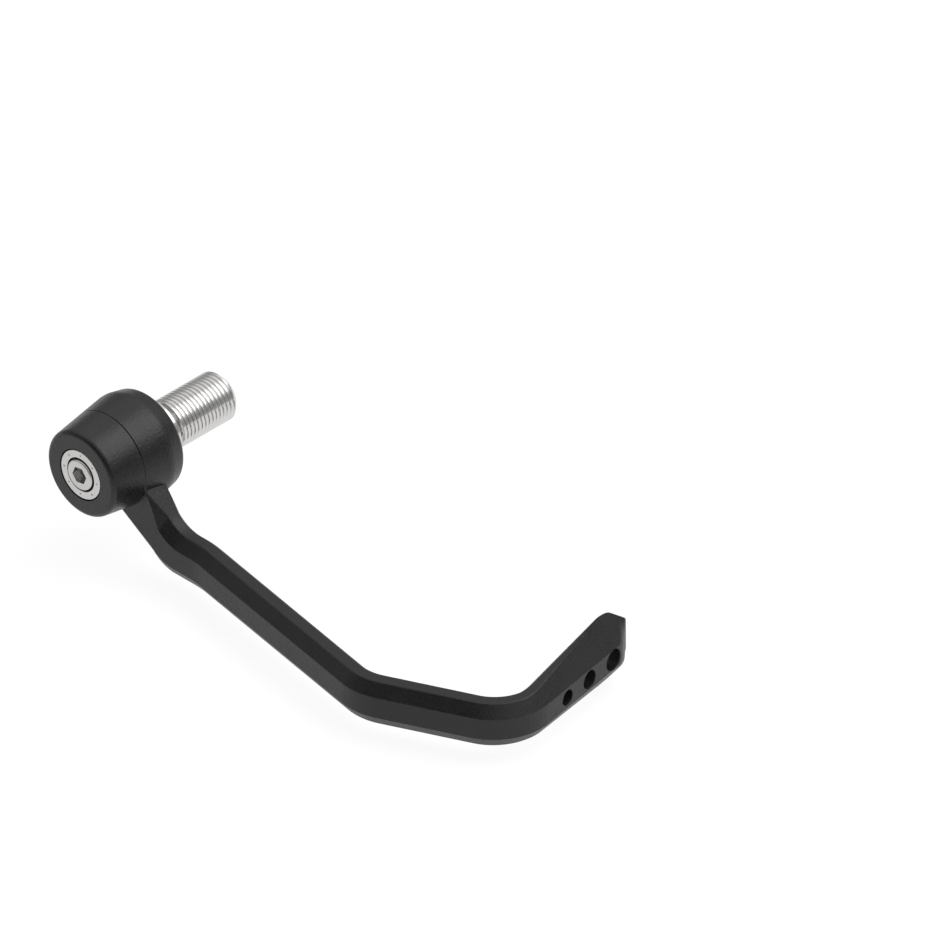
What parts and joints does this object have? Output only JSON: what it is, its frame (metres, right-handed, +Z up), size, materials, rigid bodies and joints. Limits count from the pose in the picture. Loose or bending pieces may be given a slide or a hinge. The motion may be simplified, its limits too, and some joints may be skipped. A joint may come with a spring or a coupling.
{
  "type": "brake lever guard",
  "caption": "Guard for a motorbike's front brake lever: a swept blade runs from a round bar-end housing and turns back in front of the lever; a threaded stud holds it in the handlebar.",
  "frame": {"origin": "on the stud's axis, at the collar's bar-side face, which stops against the handlebar's end insert", "axes": "-X runs along the stud into the handlebar, so +X points outboard; +Y points forward, the way the blade reaches; +Z is up"},
  "size_m": [0.0804, 0.1788, 0.0524],
  "materials": {
    "stud": "turned stainless steel",
    "bush": "turned stainless steel",
    "housing": "smooth matte black",
    "blade": "moulded matte black with a fine grain",
    "washer": "satin stainless steel",
    "screw": "satin stainless steel"
  },
  "bodies": {
    "root": {"bar_stud": "stud", "inner_bush": "bush", "inner_hub": "housing", "guard_blade": "blade", "outer_cap": "housing", "cup_washer": "washer", "cap_screw": "screw"}
  },
  "joints": []
}
